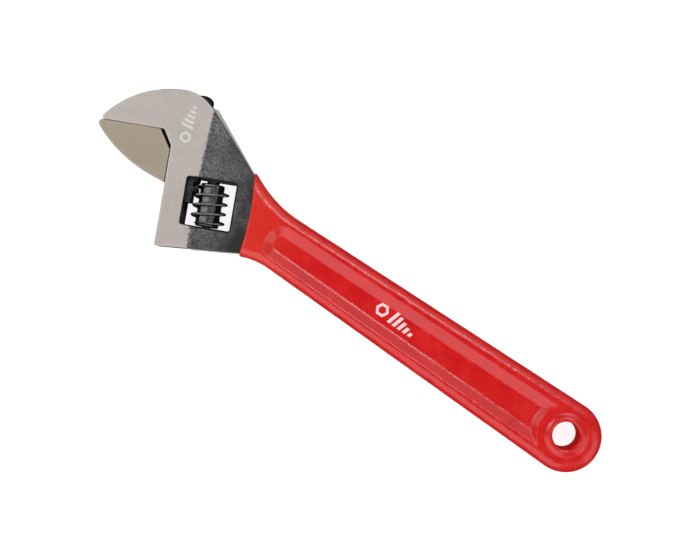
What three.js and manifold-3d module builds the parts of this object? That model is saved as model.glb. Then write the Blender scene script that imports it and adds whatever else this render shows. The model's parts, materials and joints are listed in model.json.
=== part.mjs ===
// A 10 in (250 mm) adjustable wrench with a dipped handle, in millimetres, +Z up.
//
// It lies flat: X runs along the handle towards the hang hole, Z is the thickness, and the origin is the
// centre of the bounding box at the height of the head's lower face. Two inner frames carry the shapes:
// the handle frame has its origin at the centre of the hang hole, and the head frame has its origin at
// the corner between the slideway and the throat, with x along the head away from the jaws and y up the
// slideway, so the movable jaw opens towards -y. Z = 0 in both is the middle of the thickness.
import * as THREE from "three";
import { mergeVertices } from "three/addons/utils/BufferGeometryUtils.js";
import Module from "manifold-3d";

// ---- driving dimensions ----

// where the head sits on the handle
const HOLE_TO_CORNER = 206.3; // hang hole centre to the slideway corner, along the handle
const CORNER_RISE = 5.7; // the corner's height above the handle's axis
const HEAD_ANGLE = THREE.MathUtils.degToRad(24.6); // the head leans back by this

// handle core, under the dip
const HANDLE_THICK = 9.5;
const HANDLE_NECK_HALF = 10.9; // half width at the neck
const HANDLE_END_HALF = 13.9; // half width, and the round end's radius
const HANDLE_DROP = 0.4; // the handle's middle line runs this far below the hole's centre
const NARROW_TO_CORNER = 66.3; // the narrowest place, from the slideway corner along the handle
const NARROW_TO_HOLE = HOLE_TO_CORNER - NARROW_TO_CORNER;
const END_BEYOND_HOLE = 0.7; // centre of the round end past the hole's centre
const HANG_HOLE_R = 5.7; // clear radius, inside the dip

// the long recess on both faces of the handle
const RECESS_FROM_HOLE = 14.4; // its floor's near end
const RECESS_TO_CORNER = 56.3; // its floor's far end, from the slideway corner along the handle
const RECESS_TO_HOLE = HOLE_TO_CORNER - RECESS_TO_CORNER;
const RECESS_NECK_HALF = 4.4; // half width of its floor at the neck
const RECESS_END_HALF = 6.1; // and near the hole
const RECESS_DEPTH = 2.3;
const RECESS_WALL = 5.2; // plan width of its hollow wall

// dipped grip
const VINYL = 1.4; // thickness of the dip
const GRIP_GAP = 0.3; // clearance between the dip and the steel
const GRIP_FRONT = 38.1; // its front edge in the head frame, at the middle of the arc
const GRIP_FRONT_R = 102;
const GRIP_FRONT_Y = -19;

// head
const HEAD_THICK = 15;
const GROUND_WIDTH = 14; // the ground flat, from the slideway towards the handle
const TAPER_END = 48; // where the head's faces have come down to the handle's thickness
const SLIDEWAY = 41; // length of the slideway below the corner
const HEEL_RUN = 36; // the head's lower edge, from the slideway to the neck
const HEEL_RISE = 2.8; // and how far it rises on the way
const JAW_HEIGHT = 8.6; // the fixed jaw's gripping face above the corner
const JAW_REACH = 30.6; // the fixed jaw's tip beyond the slideway
const JAW_NOSE = 1.6; // height of the tip's flat end
const THROAT_RUN = 4; // the throat's chamfer
const THROAT_START = 2;
const BACK_TOP = 26.3; // top of the head above the corner
const BACK_TOP_X = 2.5;
const BACK_R = 42.9; // the fixed jaw's round back
const SHOULDER_R = 15.7; // the shoulder between the back and the shank
const SHANK_SLOPE = THREE.MathUtils.degToRad(48.9); // the shank's edge falls at this angle

// neck curves between the head and the handle
const NECK_BLEND_TOP = 12; // each side of the corner that the curve rounds
const NECK_BLEND_BOTTOM = 8;

// movable jaw, closed
const FACE_GAP = 0.3; // between the two gripping faces when closed
const SLIDE_GAP = 0.3; // between the jaw's back and the slideway, and round the neck
const TRAVEL = 28; // how far the jaw opens
const MOVING_SUNK = 0.3; // each of its faces below the head's
const MOVING_THICK = HEAD_THICK - 2 * MOVING_SUNK;
const MOVING_REACH = 32.2; // its tip beyond the slideway
const MOVING_NOSE = 3.4; // height of the rounded tip
const MOVING_NOSE_TOP = 1.2; // the tip's curve starts this far in from it at the top
const MOVING_NOSE_BOTTOM = 1; // and ends this far in at the bottom
const MOVING_HEEL = 13.6; // its heel below the corner
const MOVING_BELLY_R = 58.8; // the round lower edge
const MOVING_CHAMFER = 5.7; // where its throat chamfer starts on the gripping face
const MOVING_CHAMFER_DROP = 1.7; // where it ends, below the start of the body's own chamfer
const NECK_THICK = 4.6;
const NECK_ABOVE_HEEL = 1; // the neck's lower end above the heel

// rack
const ROD_R = 4.6;
const BORE_GAP = 0.35;
const SLIDE_WALL = 4.55; // steel between the slideway and the rod's bore
const ROD_X = SLIDE_WALL + BORE_GAP + ROD_R; // its axis behind the slideway
const ROD_TOP = 26.1; // above the corner, closed
const ROD_DOME = 3; // height of the domed end
const ROD_CHAMFER = 0.6;
const ROD_TAIL = 5.7; // the rod below the middle of its lowest tooth

// worm and window
const PITCH = 4.15;
const WORM_R = HEAD_THICK / 2; // flush with the head's faces
const WORM_CORE_R = 5.1;
const RACK_TO_CORE = 0.5; // between the rack's teeth and the worm's core
const WORM_X = ROD_X + ROD_R + RACK_TO_CORE + WORM_CORE_R; // its axis behind the slideway
const WORM_LENGTH = 18.6;
const WORM_COLLAR = 1.2; // plain end beyond the thread
const CREST = 1.25; // thickness of the thread at its crest
const ROOT = 1.95; // and at its root
const CREST_DROP = 3.8; // from the worm's top to a crest on the side away from the rack, closed
const FLANK_GAP = 0.3; // backlash on each flank between thread and rack
const TIP_GAP = 0.4; // between the thread's crest and the rack's root
const WORM_FLOAT = 1.3; // end float above the worm, which the spring takes up
const WORM_SEAT = 0.4; // clearance below the worm
const WINDOW_TOP = -9.7;
const WINDOW_BOTTOM = WINDOW_TOP - WORM_FLOAT - WORM_LENGTH - WORM_SEAT;
const WINDOW_PAST_AXIS = 0.3; // it is open past the rod's axis, so that the rack reaches the worm
const WINDOW_LEFT = ROD_X - WINDOW_PAST_AXIS;
const THUMB_ROOM = 3.1; // between the worm and the window's far wall
const WINDOW_RIGHT = WORM_X + WORM_R + THUMB_ROOM;
const THREAD_START = WINDOW_TOP - WORM_FLOAT - CREST_DROP;
const ROD_BOTTOM = THREAD_START - ROD_TAIL;
const RACK_TEETH = Math.ceil(TRAVEL / PITCH) + 1;

// axle screw and spring
const PIN_R = 1.8;
const PIN_HEAD_R = 3;
const PIN_HEAD = 2.2;
const PIN_SLOT = 1;
const PIN_GRIP = 8; // how far it is screwed into the web above the window
const PIN_SUNK = 0.5; // its head below the lower edge
const PIN_GAP = 0.3;
const WIRE = 0.7;
const SPRING_R = 2.45; // to the middle of the wire
const SPRING_TURNS = 5;
const SPRING_GAP = 0.35; // between the coil and the counterbore
const SPRING_POCKET = 6.5; // depth of the worm's counterbore

// how shapes are cut and joined
const PAST = 1; // a cutting tool runs this far past what it cuts
const SUNK = 0.2; // the thread starts this far inside the core

// facets
const ROUND = 40; // sides of a full circle on the larger pieces
const SMALL_ROUND = 20;
const TURN_STEPS = 24; // steps in one turn of the thread
const WIRE_SIDES = 8;
const COIL_STEPS = 14; // steps in one turn of the spring

// ---- solids ----

const wasm = await Module();
wasm.setup();

// The solid inside a closed geometry.
function solid(geometry) {
  geometry.deleteAttribute("normal");
  geometry.deleteAttribute("uv");
  const merged = mergeVertices(geometry, 1e-5);
  const vertProperties = new Float32Array(merged.attributes.position.array);
  const triVerts = new Uint32Array(merged.index.array);
  return new wasm.Manifold(new wasm.Mesh({ numProp: 3, vertProperties, triVerts }));
}

// A named mesh of a solid.
function meshOf(name, made, look) {
  const { vertProperties, triVerts } = made.getMesh();
  const geometry = new THREE.BufferGeometry();
  geometry.setAttribute("position", new THREE.BufferAttribute(vertProperties, 3));
  geometry.setIndex(new THREE.BufferAttribute(triVerts, 1));
  const mesh = new THREE.Mesh(geometry.toNonIndexed(), new THREE.MeshStandardMaterial(look));
  mesh.geometry.computeVertexNormals();
  mesh.name = name;
  return mesh;
}

// A flat outline extruded from z0 to z1.
function prism(points, z0, z1) {
  const options = { depth: z1 - z0, bevelEnabled: false };
  return solid(new THREE.ExtrudeGeometry(new THREE.Shape(points), options).translate(0, 0, z0));
}

function rectangle(x0, x1, y0, y1) {
  return [point(x0, y0), point(x1, y0), point(x1, y1), point(x0, y1)];
}

function point(x, y) {
  return new THREE.Vector2(x, y);
}

// Points on an arc, from angle a0 to a1 in degrees.
function arc(centre, radius, a0, a1, sides = ROUND) {
  const count = Math.max(3, Math.ceil((Math.abs(a1 - a0) * sides) / 360));
  return Array.from({ length: count + 1 }, (_, i) => {
    const a = THREE.MathUtils.degToRad(a0 + ((a1 - a0) * i) / count);
    return point(centre.x + radius * Math.cos(a), centre.y + radius * Math.sin(a));
  });
}

// A round bar along y between two heights, about the line x = cx, z = 0.
function bar(cx, radius, y0, y1, sides = SMALL_ROUND) {
  const geometry = new THREE.CylinderGeometry(radius, radius, y1 - y0, sides);
  return solid(geometry.translate(cx, (y0 + y1) / 2, 0));
}

// A round hole's tool along z.
function drill(centre, radius) {
  const geometry = new THREE.CylinderGeometry(radius, radius, 4 * HEAD_THICK, ROUND).rotateX(Math.PI / 2);
  return solid(geometry.translate(centre.x, centre.y, 0));
}

// ---- outline of the forging ----

// Where two lines meet, each given by a point and a direction.
function meet(p, d, q, e) {
  const cross = d.x * e.y - d.y * e.x;
  const t = ((q.x - p.x) * e.y - (q.y - p.y) * e.x) / cross;
  return point(p.x + d.x * t, p.y + d.y * t);
}

// Rounds the corner between two lines with a curve that starts and ends `blend` from it.
function blendCorner(corner, arriving, leaving, blend) {
  const start = corner.clone().addScaledVector(arriving, -blend);
  const end = corner.clone().addScaledVector(leaving, blend);
  return new THREE.QuadraticBezierCurve(start, corner, end).getPoints(6);
}

// The handle frame's points and directions, seen from the head frame.
const origin = point(0, 0);
const holeCentre = point(HOLE_TO_CORNER, -CORNER_RISE).rotateAround(origin, -HEAD_ANGLE);
function onHandle(x, y) {
  return point(x, y).rotateAround(origin, -HEAD_ANGLE).add(holeCentre);
}
function handleWay(x, y) {
  return point(x, y).normalize().rotateAround(origin, -HEAD_ANGLE);
}

// The plan outline of the forging in the head frame, `out` mm outside the steel from the shoulder round
// the handle to the heel.
function planOutline(out) {
  const backCentre = point(BACK_TOP_X, BACK_TOP - BACK_R);
  const noseLift = JAW_HEIGHT + JAW_NOSE - backCentre.y;
  const noseAngle = 180 - THREE.MathUtils.radToDeg(Math.asin(noseLift / BACK_R));
  const shoulderCentre = point(BACK_TOP_X, BACK_TOP - SHOULDER_R);
  const shoulderEnd = 90 - THREE.MathUtils.radToDeg(SHANK_SLOPE);
  const shoulder = arc(shoulderCentre, SHOULDER_R + out, 90, shoulderEnd);
  const shankWay = point(Math.cos(SHANK_SLOPE), -Math.sin(SHANK_SLOPE));

  const run = NARROW_TO_HOLE + END_BEYOND_HOLE;
  const widening = HANDLE_END_HALF - HANDLE_NECK_HALF;
  const upperNeck = onHandle(-NARROW_TO_HOLE, HANDLE_NECK_HALF + out - HANDLE_DROP);
  const lowerNeck = onHandle(-NARROW_TO_HOLE, -HANDLE_NECK_HALF - out - HANDLE_DROP);
  const upperWay = handleWay(run, widening);
  const lowerWay = handleWay(-run, widening);
  const upperCorner = meet(shoulder.at(-1), shankWay, upperNeck, upperWay);
  const endCentre = onHandle(END_BEYOND_HOLE, -HANDLE_DROP);
  const lean = THREE.MathUtils.radToDeg(HEAD_ANGLE);

  const heel = point(0, -SLIDEWAY - out);
  const heelWay = point(-HEEL_RUN, -HEEL_RISE).normalize();
  const lowerCorner = meet(heel, heelWay, lowerNeck, lowerWay);
  return [
    point(0, THROAT_START),
    point(-THROAT_RUN, JAW_HEIGHT),
    point(-JAW_REACH, JAW_HEIGHT),
    ...arc(backCentre, BACK_R, noseAngle, 90),
    ...shoulder,
    ...blendCorner(upperCorner, shankWay, upperWay, NECK_BLEND_TOP),
    ...arc(endCentre, HANDLE_END_HALF + out, 90 - lean, -90 - lean),
    ...blendCorner(lowerCorner, lowerWay, heelWay, NECK_BLEND_BOTTOM),
    heel,
  ];
}

// The space between the two faces seen along the slideway: the ground flat, the taper down to the
// handle, and the handle.
function thicknessBand(out) {
  const far = HOLE_TO_CORNER + 2 * HANDLE_END_HALF;
  const head = HEAD_THICK / 2 + out;
  const handle = HANDLE_THICK / 2 + out;
  const upper = [point(-far, head), point(GROUND_WIDTH, head), point(TAPER_END, handle), point(far, handle)];
  const lower = upper.map((p) => point(p.x, -p.y)).reverse();
  const options = { depth: 2 * far, bevelEnabled: false };
  const band = new THREE.ExtrudeGeometry(new THREE.Shape([...upper, ...lower]), options);
  return solid(band.translate(0, 0, -far).rotateX(Math.PI / 2));
}

// The tool for the recess in the upper face: a floor with a round far end, and a wall that rises from it
// in a hollow curve.
function recessTool(out) {
  const neckHalf = RECESS_NECK_HALF - out;
  const endHalf = RECESS_END_HALF - out;
  const turn = 180 - THREE.MathUtils.radToDeg(HEAD_ANGLE);
  const farCentre = onHandle(neckHalf + out - RECESS_TO_HOLE, -HANDLE_DROP);
  const floor = [
    onHandle(-RECESS_FROM_HOLE - out, endHalf - HANDLE_DROP),
    ...arc(farCentre, neckHalf, turn - 90, turn + 90),
    onHandle(-RECESS_FROM_HOLE - out, -endHalf - HANDLE_DROP),
  ];
  const options = {
    depth: HEAD_THICK,
    bevelSize: RECESS_WALL,
    bevelThickness: RECESS_DEPTH,
    bevelSegments: 3,
  };
  const tool = new THREE.ExtrudeGeometry(new THREE.Shape(floor), options);
  return solid(tool.translate(0, 0, HANDLE_THICK / 2 + out));
}

// The whole forging without the head's cuts, `out` mm outside the steel along the handle.
function forging(out) {
  const upperRecess = recessTool(out);
  return prism(planOutline(out), -HEAD_THICK, HEAD_THICK)
    .intersect(thicknessBand(out))
    .subtract(upperRecess)
    .subtract(upperRecess.mirror([0, 0, 1]))
    .subtract(drill(holeCentre, HANG_HOLE_R + VINYL - out));
}

// ---- the head's cuts ----

// The head's lower edge at the worm's axis, where the axle screw goes in.
const pinEdge = -SLIDEWAY + (WORM_X * HEEL_RISE) / HEEL_RUN;
const pinBottom = pinEdge + PIN_SUNK;
const pinTop = WINDOW_TOP + PIN_GRIP;

function body() {
  const outside = 2 * SLIDEWAY;
  const slotHalf = NECK_THICK / 2 + SLIDE_GAP;
  const slot = prism(rectangle(-PAST, ROD_X, -outside, THROAT_START), -slotHalf, slotHalf);
  const rodBore = bar(ROD_X, ROD_R + BORE_GAP, -outside, outside, ROUND);
  const windowEdge = rectangle(WINDOW_LEFT, WINDOW_RIGHT, WINDOW_BOTTOM, WINDOW_TOP);
  const window = prism(windowEdge, -HEAD_THICK, HEAD_THICK);
  const pinBore = bar(WORM_X, PIN_R + PIN_GAP, -outside, pinTop + PIN_GAP);
  const counterbore = bar(WORM_X, PIN_HEAD_R + PIN_GAP, -outside, pinBottom + PIN_HEAD + PIN_GAP);
  return forging(0)
    .subtract(slot)
    .subtract(rodBore)
    .subtract(window)
    .subtract(pinBore)
    .subtract(counterbore);
}

function grip() {
  const frontCentre = point(GRIP_FRONT - GRIP_FRONT_R, GRIP_FRONT_Y);
  return forging(VINYL)
    .subtract(forging(GRIP_GAP))
    .subtract(drill(frontCentre, GRIP_FRONT_R));
}

// ---- movable jaw and its rack ----

// An arc of the given radius from a to b that bulges to the right of the way from a to b.
function bulge(a, b, radius) {
  const half = a.distanceTo(b) / 2;
  const way = b.clone().sub(a).normalize();
  const left = point(-way.y, way.x);
  const centre = a.clone().add(b).multiplyScalar(0.5);
  centre.addScaledVector(left, Math.sqrt(radius * radius - half * half));
  const a0 = a.clone().sub(centre).angle();
  const a1 = b.clone().sub(centre).angle();
  return arc(centre, radius, THREE.MathUtils.radToDeg(a0), THREE.MathUtils.radToDeg(a1));
}

function jawPlate() {
  const face = JAW_HEIGHT - FACE_GAP;
  const noseTop = point(MOVING_NOSE_TOP - MOVING_REACH, face);
  const nose = point(-MOVING_NOSE_BOTTOM - MOVING_REACH, face - MOVING_NOSE / 4);
  const noseBottom = point(MOVING_NOSE_BOTTOM - MOVING_REACH, face - MOVING_NOSE);
  const heel = point(-SLIDE_GAP, -MOVING_HEEL);
  const outline = [
    point(-SLIDE_GAP, THROAT_START - MOVING_CHAMFER_DROP),
    point(-MOVING_CHAMFER, face),
    ...new THREE.QuadraticBezierCurve(noseTop, nose, noseBottom).getPoints(5),
    ...bulge(noseBottom, heel, MOVING_BELLY_R).slice(1),
  ];
  return prism(outline, -MOVING_THICK / 2, MOVING_THICK / 2);
}

// The half thickness of the thread at a distance from the worm's axis.
function threadHalf(radius) {
  const share = (radius - WORM_CORE_R) / (WORM_R - WORM_CORE_R);
  return THREE.MathUtils.lerp(ROOT, CREST, share) / 2;
}

// The tools that cut the rack: a groove for each turn of the thread, tilted by its lead, and the plain
// end below the lowest tooth.
function rackTools() {
  const rootX = WORM_X - WORM_R - TIP_GAP;
  const outerX = ROD_X + ROD_R + PAST;
  const rootHalf = threadHalf(WORM_R) + FLANK_GAP;
  const outerHalf = threadHalf(WORM_X - outerX) + FLANK_GAP;
  const meshRadius = (WORM_R + WORM_X - ROD_X - ROD_R) / 2;
  const lead = Math.atan(PITCH / (2 * Math.PI * meshRadius));
  const groove = [
    point(rootX, -rootHalf),
    point(outerX, -outerHalf),
    point(outerX, outerHalf),
    point(rootX, rootHalf),
  ];
  const lowest = THREAD_START - PITCH / 2;
  const plainEnd = rectangle(rootX, outerX, 2 * ROD_BOTTOM - lowest, lowest);
  const tools = [prism(plainEnd, -ROD_R, ROD_R).rotate([THREE.MathUtils.radToDeg(-lead), 0, 0])];
  for (let i = 0; i <= RACK_TEETH; i += 1) {
    const cut = prism(groove, -ROD_R, ROD_R).rotate([THREE.MathUtils.radToDeg(-lead), 0, 0]);
    tools.push(cut.translate([0, lowest + i * PITCH, 0]));
  }
  return tools;
}

function rod() {
  const profile = [
    point(0, ROD_BOTTOM),
    point(ROD_R - ROD_CHAMFER, ROD_BOTTOM),
    point(ROD_R, ROD_BOTTOM + ROD_CHAMFER),
  ];
  for (let i = 0; i <= 4; i += 1) {
    const a = (i * Math.PI) / 8;
    profile.push(point(ROD_R * Math.cos(a), ROD_TOP - ROD_DOME + ROD_DOME * Math.sin(a)));
  }
  profile.at(-1).x = 0;
  return solid(new THREE.LatheGeometry(profile, ROUND).translate(ROD_X, 0, 0));
}

function movableJaw() {
  const neckTop = THROAT_START - MOVING_CHAMFER_DROP;
  const neckOutline = rectangle(-THROAT_RUN, ROD_X, -MOVING_HEEL + NECK_ABOVE_HEEL, neckTop);
  const neck = prism(neckOutline, -NECK_THICK / 2, NECK_THICK / 2);
  const toothed = rackTools().reduce((rack, tool) => rack.subtract(tool), rod());
  return jawPlate().add(neck).add(toothed);
}

// ---- worm, axle screw and spring ----

const wormTop = WINDOW_TOP - WORM_FLOAT;
const wormBottom = wormTop - WORM_LENGTH;

// The thread with its core: one cross section turned as it climbs, once a pitch. A crest faces +x at the
// height THREAD_START, and the thread is right-handed.
function thread() {
  const bottom = wormBottom + WORM_COLLAR;
  const length = WORM_LENGTH - 2 * WORM_COLLAR;
  const crest = (CREST / PITCH) * 180;
  const root = (ROOT / PITCH) * 180;
  const inner = WORM_CORE_R - SUNK;
  const section = [...arc(origin, WORM_R, -crest, crest), ...arc(origin, inner, root, 360 - root)];
  const steps = Math.round((length / PITCH) * TURN_STEPS);
  const options = { depth: length, steps, bevelEnabled: false };
  const geometry = new THREE.ExtrudeGeometry(new THREE.Shape(section), options);
  const place = geometry.attributes.position;
  const v = new THREE.Vector3();
  const up = new THREE.Vector3(0, 0, 1);
  for (let i = 0; i < place.count; i += 1) {
    v.fromBufferAttribute(place, i);
    v.applyAxisAngle(up, (2 * Math.PI * (v.z + bottom - THREAD_START)) / PITCH);
    place.setXYZ(i, v.x, v.y, v.z);
  }
  return solid(geometry.rotateX(-Math.PI / 2).translate(WORM_X, bottom, 0));
}

function knurl() {
  const pocketFloor = wormTop - SPRING_POCKET;
  return bar(WORM_X, WORM_CORE_R, wormBottom, wormTop, ROUND)
    .add(thread())
    .subtract(bar(WORM_X, PIN_R + PIN_GAP, wormBottom - PAST, wormTop + PAST))
    .subtract(bar(WORM_X, SPRING_R + WIRE / 2 + SPRING_GAP, pocketFloor, wormTop + PAST));
}

function knurlPin() {
  const slot = prism(
    rectangle(WORM_X - PIN_SLOT / 2, WORM_X + PIN_SLOT / 2, pinBottom - PAST, pinBottom + PIN_HEAD / 2),
    -2 * PIN_HEAD_R,
    2 * PIN_HEAD_R,
  );
  return bar(WORM_X, PIN_R, pinBottom, pinTop)
    .add(bar(WORM_X, PIN_HEAD_R, pinBottom, pinBottom + PIN_HEAD))
    .subtract(slot);
}

// A helix about the worm's axis between two heights.
class Coil extends THREE.Curve {
  constructor(bottom, top) {
    super();
    this.bottom = bottom;
    this.top = top;
  }

  getPoint(t, target = new THREE.Vector3()) {
    const a = 2 * Math.PI * SPRING_TURNS * t;
    const y = THREE.MathUtils.lerp(this.bottom, this.top, t);
    return target.set(WORM_X + SPRING_R * Math.cos(a), y, SPRING_R * Math.sin(a));
  }
}

function knurlSpring() {
  const bottom = wormTop - SPRING_POCKET + WIRE / 2 + SPRING_GAP;
  const top = WINDOW_TOP - WIRE / 2 - SPRING_GAP;
  const wire = new THREE.Shape(arc(origin, WIRE / 2, 0, 360, WIRE_SIDES).slice(1));
  const steps = SPRING_TURNS * COIL_STEPS;
  const options = { steps, extrudePath: new Coil(bottom, top), bevelEnabled: false };
  return solid(new THREE.ExtrudeGeometry(wire, options));
}

// ---- the assembly ----

const groundSteel = { color: 0xb4aea8, roughness: 0.38, metalness: 1 };
const jawSteel = { color: 0xa59e94, roughness: 0.4, metalness: 1 };
const blackOxide = { color: 0x1c1c1e, roughness: 0.5, metalness: 0.8 };
const springSteel = { color: 0x6b6d70, roughness: 0.35, metalness: 1 };
const redVinyl = { color: 0xcc1e22, roughness: 0.3, metalness: 0 };

const head = new THREE.Group();
head.rotation.z = HEAD_ANGLE;
head.add(meshOf("body", body(), groundSteel));
head.add(meshOf("grip", grip(), redVinyl));
head.add(meshOf("movable_jaw", movableJaw(), jawSteel));
head.add(meshOf("knurl", knurl(), blackOxide));
head.add(meshOf("knurl_pin", knurlPin(), blackOxide));
head.add(meshOf("knurl_spring", knurlSpring(), springSteel));

const wrench = new THREE.Group();
wrench.add(head);
wrench.updateMatrixWorld(true);
const box = new THREE.Box3().setFromObject(wrench, true);
const middle = box.getCenter(new THREE.Vector3());
head.position.set(-middle.x, -middle.y, -box.min.z);

export default wrench;
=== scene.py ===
# %% [markdown]
# # An adjustable wrench with a dipped handle
# The wrench lies flat on a pale surface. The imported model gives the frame: where each piece sits, which
# body it rides on and how it moves. This script gives each piece its real surface and finish.
#
# Shapes are worked out in millimetres in the *head frame*, whose x runs along the head from the jaws
# towards the handle and whose y runs up the slideway. One function at the end of each step turns them
# into the model's frame in metres.

# %% The frame
import json
import math

import bpy
import numpy as np
from mathutils import Matrix, Vector


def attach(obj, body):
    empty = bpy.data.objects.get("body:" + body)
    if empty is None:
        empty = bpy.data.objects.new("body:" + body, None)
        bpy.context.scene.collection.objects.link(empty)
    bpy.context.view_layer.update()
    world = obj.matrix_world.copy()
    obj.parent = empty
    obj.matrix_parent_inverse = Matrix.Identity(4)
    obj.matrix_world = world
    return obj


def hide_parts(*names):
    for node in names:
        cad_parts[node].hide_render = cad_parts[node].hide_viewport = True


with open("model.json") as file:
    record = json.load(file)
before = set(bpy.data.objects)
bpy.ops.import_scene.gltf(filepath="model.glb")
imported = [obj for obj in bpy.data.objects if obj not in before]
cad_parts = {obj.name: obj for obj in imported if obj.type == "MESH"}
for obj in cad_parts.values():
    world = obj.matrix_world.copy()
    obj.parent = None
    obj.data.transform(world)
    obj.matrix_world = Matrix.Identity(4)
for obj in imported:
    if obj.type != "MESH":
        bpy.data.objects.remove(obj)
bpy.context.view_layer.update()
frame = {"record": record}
joints = {j["name"]: j for j in frame["record"]["behaviour"]["joints"]}

# %% [markdown]
# ## Driving dimensions
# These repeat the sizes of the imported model, because the detailed surfaces have to fall on its solids.
# The place and the lean of the head are read from the joints: the jaw opens down the slideway, and the
# worm's axle gives the point that everything in the head is measured from.

# %% Sizes in millimetres
opening = joints["jaw_slide"]["axis"]
LEAN = math.atan2(opening[0], -opening[1])
WORM_X, WORM_MID = 19.7, -20.0

HOLE_TO_CORNER, CORNER_RISE = 206.3, 5.7
HANDLE_THICK, HANDLE_NECK_HALF, HANDLE_END_HALF, HANDLE_DROP = 9.5, 10.9, 13.9, 0.4
NARROW_TO_HOLE, END_BEYOND_HOLE, STEEL_HOLE_R = 140, 0.7, 7.1
RECESS_FROM_HOLE, RECESS_TO_HOLE = 14.4, 150
RECESS_NECK_HALF, RECESS_END_HALF, RECESS_DEPTH, RECESS_WALL = 4.4, 6.1, 2.3, 5.2
VINYL, GRIP_FRONT, GRIP_FRONT_R, GRIP_FRONT_Y = 1.4, 38.1, 102, -19

HEAD_THICK, GROUND_WIDTH, TAPER_END = 15.0, 14.0, 48.0
SLIDEWAY, HEEL_RUN, HEEL_RISE = 41, 36, 2.8
JAW_HEIGHT, JAW_REACH, JAW_NOSE, THROAT_RUN, THROAT_START = 8.6, 30.6, 1.6, 4, 2
BACK_TOP, BACK_TOP_X, BACK_R, SHOULDER_R, SHANK_SLOPE = 26.3, 2.5, 42.9, 15.7, math.radians(48.9)
NECK_BLEND_TOP, NECK_BLEND_BOTTOM = 12, 8

SLIDE_GAP, MOVING_THICK, MOVING_REACH, MOVING_NOSE = 0.3, 14.4, 32.2, 3.4
MOVING_HEEL, MOVING_BELLY_R, MOVING_CHAMFER, MOVING_CHAMFER_DROP = 13.6, 58.8, 5.7, 1.7
NECK_THICK, ROD_X, ROD_R, ROD_TOP, ROD_BOTTOM, ROD_DOME, BORE_GAP = 4.6, 9.5, 4.6, 26.1, -20.5, 3, 0.35

PITCH, WORM_R, WORM_CORE_R, WORM_LENGTH, WORM_COLLAR = 4.15, 7.5, 5.1, 18.6, 1.2
CREST, ROOT, THREAD_START, FLANK_GAP, TIP_GAP, RACK_TEETH = 1.25, 1.95, -14.8, 0.3, 0.4, 8
WINDOW_LEFT, WINDOW_RIGHT, WINDOW_TOP, WINDOW_BOTTOM, WORM_FLOAT = 9.2, 30.3, -9.7, -30, 1.3
PIN_R, PIN_HEAD_R, PIN_HEAD, PIN_SLOT, PIN_GRIP, PIN_SUNK, PIN_GAP = 1.8, 3, 2.2, 1, 8, 0.5, 0.3
WIRE, SPRING_R, SPRING_TURNS, SPRING_GAP, SPRING_POCKET = 0.7, 2.45, 5, 0.35, 6.5

worm_top = WINDOW_TOP - WORM_FLOAT
worm_bottom = worm_top - WORM_LENGTH
pin_bottom = -SLIDEWAY + WORM_X * HEEL_RISE / HEEL_RUN + PIN_SUNK
pin_top = WINDOW_TOP + PIN_GRIP
HANG_HOLE_R = STEEL_HOLE_R - VINYL

to_row = Matrix.Rotation(LEAN, 4, "Z") @ Matrix.Scale(0.001, 4)
axle = Vector(joints["knurl_spin"]["pos_m"])
to_row = Matrix.Translation(axle - to_row @ Vector((WORM_X, WORM_MID, 0))) @ to_row
to_head = np.array([[math.cos(LEAN), math.sin(LEAN)], [-math.sin(LEAN), math.cos(LEAN)]])
hole_centre = to_head @ (HOLE_TO_CORNER, -CORNER_RISE)
print("head leans", round(math.degrees(LEAN), 2), "degrees; slideway corner at", to_row.translation)

# %% [markdown]
# ## Solids as distances
# A forging is all blends: faces run into walls through soft edges, and bores and slots break through
# them. Carried profiles meet badly there, so the forging, the jaw and the dip are described another
# way, as a *field*: a function that gives, at any point, the distance to the surface, negative inside.
# Joining two solids is then the smaller of two fields and cutting is the larger, and an edge's radius
# is one number. A net of quads is stretched over the places where the field changes sign.

# %% Joining and cutting fields
def both(a, b, radius):
    """The space inside both fields. Where the two surfaces meet, within radius of each, the distance is
    measured from a line that lies radius inside both, which rounds the edge."""
    outside = np.hypot(np.maximum(a + radius, 0), np.maximum(b + radius, 0))
    return np.minimum(np.maximum(a, b), -radius) + outside


def cut(a, b, radius):
    """Field a without the space inside field b, with a rounded rim."""
    return both(a, -b, radius)


def box(x, y, x0, x1, y0, y1, corner=0.0):
    """Distance to a rectangle with round corners: how far outside each pair of sides, combined."""
    dx = np.abs(x - (x0 + x1) / 2) - (x1 - x0) / 2 + corner
    dy = np.abs(y - (y0 + y1) / 2) - (y1 - y0) / 2 + corner
    return np.minimum(np.maximum(dx, dy), 0) + np.hypot(np.maximum(dx, 0), np.maximum(dy, 0)) - corner


def inside_outline(x, y, outline):
    """Distance to a closed outline: to its nearest edge, negative where a line to the right crosses an
    odd number of edges."""
    nearest = np.full(np.broadcast(x, y).shape, np.inf)
    odd = np.zeros(nearest.shape, bool)
    for (ax, ay), (bx, by) in zip(outline, np.roll(outline, -1, axis=0)):
        ex, ey = bx - ax, by - ay
        along = np.clip(((x - ax) * ex + (y - ay) * ey) / (ex * ex + ey * ey), 0, 1)
        nearest = np.minimum(nearest, np.hypot(x - ax - along * ex, y - ay - along * ey))
        if ey:
            odd ^= ((ay > y) != (by > y)) & (x < ax + (y - ay) * ex / ey)
    return np.where(odd, -nearest, nearest)


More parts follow.
